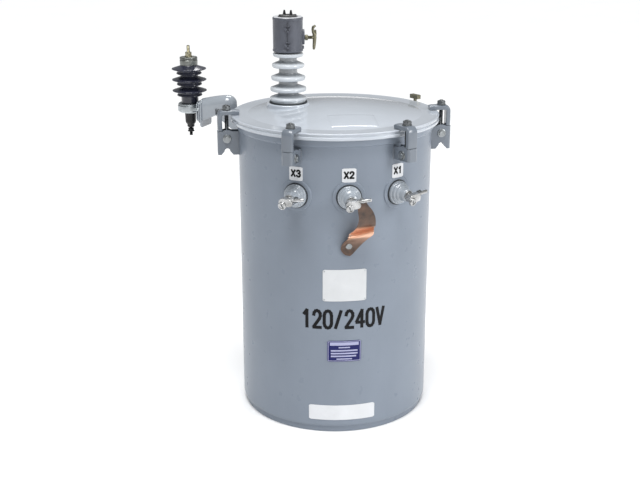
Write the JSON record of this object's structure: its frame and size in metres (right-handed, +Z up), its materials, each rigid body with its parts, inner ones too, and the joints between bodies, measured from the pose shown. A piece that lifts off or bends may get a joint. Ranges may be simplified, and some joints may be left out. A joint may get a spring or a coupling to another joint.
{
  "type": "pole mounted transformer",
  "caption": "Round oil-filled pole transformer with a clamped cover, high voltage bushing, surge arrester on a bracket and low voltage bushings.",
  "frame": {"origin": "centre of the tank's foot ring, on the floor", "axes": "+Z up the tank; -Y towards the low voltage bushings; +Y towards the pole and the support lugs; +X to the right seen from the low voltage side"},
  "size_m": [0.8085, 0.698, 1.177],
  "materials": {
    "tank_paint": "satin grey enamel",
    "cover_paint": "gloss grey enamel",
    "inner_mass": "sealed core, coils and oil",
    "gasket": "matt",
    "zinc_steel": "dull zinc",
    "porcelain": "gloss glaze",
    "cap_plastic": "moulded, satin",
    "bronze": "dull bronze",
    "arrester_polymer": "smooth polymer",
    "brass_stud": "plated",
    "band_metal": "dull zinc",
    "black_plastic": "moulded",
    "lv_body": "grey glaze",
    "tinned": "tinned, bright",
    "copper": "bare copper sheet",
    "plate_white": "printed label",
    "plate_blue": "printed plate"
  },
  "bodies": {
    "root": {"foot_ring": "tank_paint", "tank_bottom": "tank_paint", "tank_wall": "tank_paint", "tank_rim": "tank_paint", "core_and_oil": "inner_mass", "cover_gasket": "gasket", "cover": "cover_paint", "clamp_hook_left": "tank_paint", "clamp_hook_front_left": "tank_paint", "clamp_hook_front_right": "tank_paint", "clamp_hook_right": "tank_paint", "clamp_bracket_left": "tank_paint", "clamp_bracket_front_left": "tank_paint", "clamp_bracket_front_right": "tank_paint", "clamp_bracket_right": "tank_paint", "clamp_bolts": "zinc_steel", "clamp_pins": "zinc_steel", "hv_gasket": "gasket", "hv_bushing": "porcelain", "hv_cap": "cap_plastic", "hv_terminal": "bronze", "arrester_housing": "arrester_polymer", "arrester_terminal": "brass_stud", "arrester_band": "band_metal", "arrester_disconnector": "black_plastic", "arrester_bracket": "tank_paint", "lv_gaskets": "gasket", "lv_bushing_x1": "lv_body", "lv_bushing_x2": "lv_body", "lv_bushing_x3": "lv_body", "lv_terminal_x1": "tinned", "lv_terminal_x2": "tinned", "lv_terminal_x3": "tinned", "ground_strap": "copper", "ground_boss": "zinc_steel", "cover_bond": "bronze", "rating_plate": "plate_white", "notice_plate": "plate_blue", "maker_plate": "plate_white", "terminal_markers": "plate_white", "upper_support_lug": "tank_paint", "lower_support_lug": "tank_paint"}
  },
  "joints": []
}
